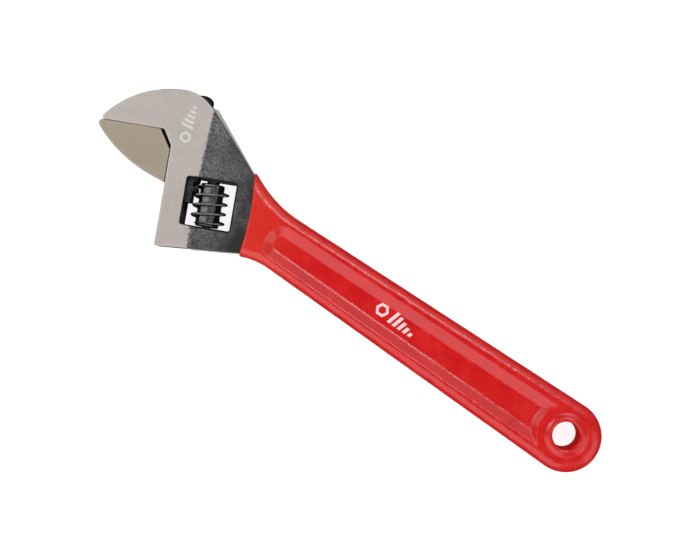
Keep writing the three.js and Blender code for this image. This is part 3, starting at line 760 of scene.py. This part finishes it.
# %% [markdown]
# ## The movable jaw
# The jaw is a thick plate with a round belly, a thin neck that runs through the slideway, and a rod
# behind it with the rack's teeth cut across one side. The teeth lean by the thread's lead angle, so
# that the worm's rib lies flat in them.

# %% Movable jaw
CLOSED_GAP = 0.14  # what is left between the closed gripping faces
jaw_face = JAW_HEIGHT - CLOSED_GAP
nose = np.array([(1.2 - MOVING_REACH, jaw_face), (-1 - MOVING_REACH, jaw_face - MOVING_NOSE / 4),
                 (1 - MOVING_REACH, jaw_face - MOVING_NOSE)])
heel = np.array([-SLIDE_GAP, -MOVING_HEEL])
chord = heel - nose[2]
belly_rise = math.sqrt(MOVING_BELLY_R ** 2 - (chord @ chord) / 4)
belly_centre = (heel + nose[2]) / 2 + np.array([-chord[1], chord[0]]) / math.hypot(*chord) * belly_rise
jaw_outline = np.concatenate([
    [(-SLIDE_GAP, THROAT_START - MOVING_CHAMFER_DROP), (-MOVING_CHAMFER, jaw_face)],
    eased(*nose),
    [nose[2] + (-2, -9), heel + (0, -9)],
])
BELLY_EDGE = 0.4  # radius of the ground edge round the belly
mesh_radius = (WORM_R + WORM_X - ROD_X - ROD_R) / 2
LEAD = PITCH / (2 * math.pi * mesh_radius)  # rise of the teeth across the rod, per millimetre


def rib_half(radius):
    """Half thickness of the worm's rib at a distance from its axis: from ROOT at the core to CREST."""
    return (ROOT + (CREST - ROOT) * (radius - WORM_CORE_R) / (WORM_R - WORM_CORE_R)) / 2


def jaw_field(x, y, z):
    """The plate, the neck and the domed rod, less the grooves of the rack."""
    plate = both(inside_outline(x, y, jaw_outline), np.abs(z) - MOVING_THICK / 2, CRISP)
    belly = np.hypot(x - belly_centre[0], y - belly_centre[1]) - MOVING_BELLY_R
    plate = np.maximum(plate, both(belly, np.abs(z) - MOVING_THICK / 2, BELLY_EDGE))
    neck = box(x, y, -THROAT_RUN, ROD_X, 1 - MOVING_HEEL, THROAT_START - MOVING_CHAMFER_DROP, 0.3)
    neck = both(neck, np.abs(z) - NECK_THICK / 2, 0.2)

    radius, rise = np.hypot(x - ROD_X, z), np.maximum(y - ROD_TOP + ROD_DOME, 0)
    rod = (np.hypot(radius / ROD_R, rise / ROD_DOME) - 1) * ROD_DOME
    rod = both(rod, ROD_BOTTOM - y, 0.5)
    root = WORM_X - WORM_R - TIP_GAP
    up = y - z * LEAD - (THREAD_START - PITCH / 2)
    off = np.abs(up - PITCH * np.clip(np.round(up / PITCH), 0, RACK_TEETH))
    grooves = np.maximum(np.minimum(off - rib_half(WORM_X - x) - FLANK_GAP, up), root - x)
    return np.minimum(np.minimum(plate, neck), cut(rod, grooves, 0.2))


half = MOVING_THICK / 2
vertices, quads = net_over(
    jaw_field,
    graded((-33.2, 14.8, 0.36)),
    graded((-21.2, 7.8, 0.36), (7.8, 9, 0.13), (9, 26.8, 0.36)),
    graded((-half - 0.4, -half + 1, 0.2), (-half + 1, half - 1, 0.42), (half - 1, half + 0.4, 0.2)),
)
piece("movable_jaw_with_rack", vertices, quads, "jaw", jaw_finish, ("movable_jaw",))

# %% [markdown]
# ## The worm
# The worm, or knurl, is turned as one rib wound round a core, with a fine knurl rolled into the rib's
# rim for the thumb. It is a surface of two parameters: the angle round the axis and the way along a
# closed profile, which goes up the outside and back down through the spring's pocket and the bore. On
# the outside the radius depends on how far the point is from the nearest turn of the rib.

# %% Worm
KNURL_NOTCHES, KNURL_DEPTH = 44, 0.42  # a notch about each millimetre of the rim
ROUND_STEPS = KNURL_NOTCHES * 4
CORE_FLATS = 10  # flats on the core between the turns of the rib
CORE_PROUD = 0.08  # the flats' corners stand this much above the plain core
END_ROUND = 0.7
RIB, CREST_HALF = 1.6, 0.25  # width of the rib at the core, and half its flat crest
RIB_FULLNESS = 0.5  # below 1 the rib's flanks are steeper and its shoulders fuller
PROFILE_ROWS = 170


def worm_surface():
    """Radius and height on a grid: rows follow the profile and columns go round the axis."""
    turn = np.linspace(0, 2 * math.pi, ROUND_STEPS, endpoint=False)[None, :]
    rise = np.linspace(worm_bottom, worm_top, PROFILE_ROWS)[:, None]
    beyond = np.maximum(np.abs(rise - (worm_bottom + worm_top) / 2) - WORM_LENGTH / 2 + END_ROUND, 0)
    flat = math.pi / CORE_FLATS
    core = WORM_CORE_R * math.cos(flat) / np.cos((turn + math.pi / 2) % (2 * flat) - flat) + CORE_PROUD
    core = core - END_ROUND + np.sqrt(END_ROUND ** 2 - beyond ** 2)
    off = (rise - THREAD_START - turn * PITCH / (2 * math.pi)) / PITCH
    off = np.abs(off - np.round(off)) * PITCH
    share = np.clip((RIB / 2 - off) / (RIB / 2 - CREST_HALF), 0, 1)
    share = np.sin(share * math.pi / 2) ** RIB_FULLNESS
    inside = np.minimum(rise - worm_bottom - WORM_COLLAR, worm_top - WORM_COLLAR - rise)
    share = share * np.clip(inside / 0.35 + 0.5, 0, 1)
    notch = KNURL_DEPTH * (0.5 - 0.5 * np.cos(turn * KNURL_NOTCHES)) * np.clip((share - 0.7) * 6, 0, 1)
    outer = core + (WORM_R - core) * share - notch
    pocket, bore, floor = SPRING_R + WIRE / 2 + SPRING_GAP, PIN_R + PIN_GAP, worm_top - SPRING_POCKET
    inner = [(pocket, worm_top), (pocket, floor), (bore, floor), (bore, worm_bottom)]
    steps = [np.linspace(a, b, 5) for a, b in zip(inner, inner[1:])]
    inner = np.concatenate([inner[:1]] + [step[1:] for step in steps])
    radius = np.concatenate([outer, np.repeat(inner[:, :1], ROUND_STEPS, axis=1)])
    height = np.repeat(np.concatenate([rise, inner[:, 1:]]), ROUND_STEPS, axis=1)
    return radius, height, np.repeat(turn, len(radius), axis=0)


worm_r, worm_y, turn = worm_surface()
vertices = np.stack([WORM_X + worm_r * np.cos(turn), worm_y, -worm_r * np.sin(turn)], axis=-1).reshape(-1, 3)
quads = quads_over(len(worm_r), ROUND_STEPS)
piece("worm_knurl", vertices, quads, "worm", oxide_finish, ("knurl",))

# %% [markdown]
# ## The axle screw and the spring
# A slotted screw runs up through the worm and into the web above the window. A short coil spring round
# it sits in a pocket in the worm's top and pushes the worm down, which takes up the play.

# %% Axle screw
def screw_field(x, y, z):
    """A shank and a flat head, less the driver's slot."""
    radius = np.hypot(x - WORM_X, z)
    shank = both(radius - PIN_R, np.abs(y - (pin_top + pin_bottom) / 2) - (pin_top - pin_bottom) / 2, 0.35)
    top = both(radius - PIN_HEAD_R, np.abs(y - pin_bottom - PIN_HEAD / 2) - PIN_HEAD / 2, 0.3)
    slot = np.maximum(np.abs(x - WORM_X) - PIN_SLOT / 2, y - pin_bottom - PIN_HEAD / 2)
    return cut(np.minimum(shank, top), slot, 0.12)


MARGIN = 0.47  # keeps flat ends off the grid's lines
reach = PIN_HEAD_R + MARGIN
vertices, quads = net_over(
    screw_field,
    graded((WORM_X - reach, WORM_X + reach, 0.2)),
    graded((pin_bottom - MARGIN, pin_bottom + 3, 0.2), (pin_bottom + 3, pin_top + MARGIN, 0.4)),
    graded((-reach, reach, 0.2)),
)
piece("axle_screw", vertices, quads, "root", oxide_finish, ("knurl_pin",))

# %% Spring
SIDES, STEPS_PER_TURN = 12, 32
DEAD_TURNS = 0.75  # closed turns at each end, which lie wire on wire


def coil_surface(bottom, top):
    """A tube along a helix: the point on the helix plus the wire's radius times a direction that turns
    in the plane of the axis and the radius. The wire thins towards both ends, which are capped."""
    rows = SPRING_TURNS * STEPS_PER_TURN + 1
    t = np.linspace(0, 1, rows)[:, None]
    angle, side = 2 * math.pi * SPRING_TURNS * t, np.linspace(0, 2 * math.pi, SIDES, endpoint=False)[None, :]
    dead = DEAD_TURNS / SPRING_TURNS
    climb = np.clip((t - dead) / (1 - 2 * dead), 0, 1) * (top - bottom - 2 * WIRE * DEAD_TURNS)
    climb = climb + WIRE * DEAD_TURNS * (np.clip(t / dead, 0, 1) + np.clip((t - 1 + dead) / dead, 0, 1))
    wire = WIRE / 2 * np.sqrt(np.clip(np.minimum(t, 1 - t) * rows / 2, 0.0001, 1))
    radius = SPRING_R + wire * np.cos(side)
    return np.stack([WORM_X + radius * np.cos(angle), bottom + climb + wire * np.sin(side),
                     radius * np.sin(angle)], axis=-1)


coil = coil_surface(worm_top - SPRING_POCKET + WIRE / 2 + SPRING_GAP, WINDOW_TOP - WIRE / 2 - 0.02)
k = np.arange(SIDES // 2 - 1)
cap = np.stack([k, SIDES - 1 - k, SIDES - 2 - k, k + 1], axis=1)
tube, far_end = quads_over(len(coil), SIDES, closed=False), (len(coil) - 1) * SIDES
quads = np.concatenate([tube, cap, cap[:, ::-1] + far_end])
piece("take_up_spring", coil.reshape(-1, 3), quads, "root", wire_finish, ("knurl_spring",))

# %% [markdown]
# ## Wordless marks
# Tools like this carry a printed mark on the handle and an etched one on the head. A plain pair of
# signs stands for them here: a hexagon, for a nut, and a row of slanted bars, like a size scale. Each is
# a very thin closed solid, so the ink and the frosting have an edge.

# %% Marks
BARS, FIRST_BAR, BAR_STEP, BAR_WIDTH, BAR_DROP = 5, 0.82, 0.42, 0.24, 0.09  # in shares of the mark's height
HEXAGON_HOLE, SLANT = 0.58, 0.3


def slab(outlines, low, high):
    """A closed ring between an outer and an inner outline, from low to high."""
    outer, inner = outlines
    rings = np.concatenate([np.column_stack([ring, np.full(len(ring), z)])
                            for ring, z in ((outer, low), (outer, high), (inner, high), (inner, low))])
    return rings, quads_over(4, len(outer))


def bar(x, width, low, high):
    """A slanted bar as two nested outlines, the inner one almost closed."""
    corners = np.array([(x + SLANT * low, low), (x + width + SLANT * low, low),
                        (x + width + SLANT * high, high), (x + SLANT * high, high)])
    middle = corners.mean(0)
    return corners, middle + (corners - middle) * 0.02


def marks(name, place, low, high, material, size):
    """A hexagon ring and five slanted bars, drawn size millimetres high and put in place."""
    angles = np.arange(6) * math.pi / 3
    hexagon = size / 2 * np.stack([np.cos(angles), np.sin(angles)], axis=1)
    shapes = [(hexagon, hexagon * HEXAGON_HOLE)]
    for number in range(BARS):
        left, top = size * (FIRST_BAR + BAR_STEP * number), size * (0.5 - 2 * BAR_DROP * number)
        shapes.append(bar(left, size * BAR_WIDTH, -size / 2, top))
    total_v, total_f, start = [], [], 0
    for shape in shapes:
        v, f = slab([place(o) for o in shape], low, high)
        total_v.append(v)
        total_f.append(f + start)
        start += len(v)
    piece(name, np.concatenate(total_v), np.concatenate(total_f), "root", material, smooth=False)


PRINTED_FROM_HOLE, PRINTED_SIZE = (-93.5, 0.2), 6.2
ETCHED_X, ETCHED_Y, ETCHED_SIZE = 5.6, 6.5, 5.2
hollow, head_top = HANDLE_THICK / 2 + VINYL - RECESS_DEPTH, HEAD_THICK / 2
marks("printed_mark", lambda o: (o + PRINTED_FROM_HOLE) @ to_head.T + hole_centre, hollow + 0.01,
      hollow + 0.06, ink_material(), PRINTED_SIZE)
marks("etched_mark", lambda o: np.stack([ETCHED_X - o[:, 1], o[:, 0] + ETCHED_Y], axis=1), head_top - 0.01,
      head_top + 0.015, etch_material(), ETCHED_SIZE)

# %% [markdown]
# ## Floor, light and camera
# A pale floor and soft lights in a light tent. The tent's walls are pale, its foot and its roof are dimmer:
# the ground steel mirrors the roof and the lights near it, and the vinyl's round edges pick up the wide
# lights at the sides as long soft highlights.

# %% Floor
sheet = bpy.data.meshes.new("floor")
sheet.from_pydata([(-3, -3, 0), (3, -3, 0), (3, 3, 0), (-3, 3, 0)], [], [(0, 1, 2, 3)])
floor = in_scene("floor", sheet)
floor.visible_glossy = False  # it glows: it lights the wrench's sides, but stays out of its reflections
paper, tree, shader = new_material("pale_paper")
fill(tree, shader, {"Base Color": "#A0A0A0", "Roughness": 0.9, "Emission Color": (1, 1, 1, 1),
                    "Emission Strength": 0.88})
floor.data.materials.append(paper)

# %% Lights
VIEW_TURN = math.radians(-34.22)
UP_IN_VIEW = Vector((math.sin(VIEW_TURN), math.cos(VIEW_TURN), 0))
RIGHT_IN_VIEW = UP_IN_VIEW.cross(Vector((0, 0, 1)))


def soft_light(name, right, up, height, size, power):
    """A square soft light placed by the view's right and up, aimed at the middle of the wrench."""
    data = bpy.data.lights.new(name, "AREA")
    data.size, data.energy = size, power
    light = in_scene(name, data)
    light.location = RIGHT_IN_VIEW * right + UP_IN_VIEW * up + Vector((0, 0, height))
    light.rotation_euler = light.location.to_track_quat("Z", "Y").to_euler()


soft_light("lower_left", -0.62, -0.91, 0.92, 1.6, 12.5)
soft_light("upper_right_near", 0.4, 0.59, 1.25, 0.42, 4.2)
soft_light("upper_right", 0.66, 0.97, 0.75, 0.9, 2.0)
soft_light("upper_left", -1.0, 0.67, 0.8, 1.0, 4.6)
soft_light("lower_right", 1.0, -0.67, 0.8, 1.0, 4.2)
soft_light("left", -0.75, 0.5, 1.05, 0.35, 1.6)
soft_light("right", 0.62, -0.42, 1.15, 0.4, 1.0)
print("lights:", len(bpy.data.lights))

# %% The tent
world = bpy.data.worlds.new("tent")
bpy.context.scene.world = world
world.use_nodes = True
tent, background = world.node_tree, world.node_tree.nodes["Background"]
direction = add(tent, "ShaderNodeTexCoord").outputs["Generated"]
upward = parts(tent, direction)[2]  # 0 at the foot, 1 overhead
walls, roof = ramp(tent, upward, -0.1, 0.2, 0.03, 0.3), ramp(tent, upward, 0.85, 0.96, 1.0, 0.45)
fill(tent, background, {"Color": (1, 1, 1, 1), "Strength": maths(tent, "MULTIPLY", walls, roof)})
bpy.context.scene.view_settings.view_transform = "Standard"

# %% Camera
eye, aim = Vector((0.01704, 0.00305, 0.561)), Vector((-0.00082, 0.00182, 0.0075))
lens = bpy.data.cameras.new("camera")
lens.lens, lens.sensor_width = 66.5, 36.0
camera = in_scene("camera", lens)
backward = (eye - aim).normalized()
right = UP_IN_VIEW.cross(backward).normalized()
up = backward.cross(right)
camera.matrix_world = Matrix.Translation(eye) @ Matrix((right, up, backward)).transposed().to_4x4()
bpy.context.scene.camera = camera
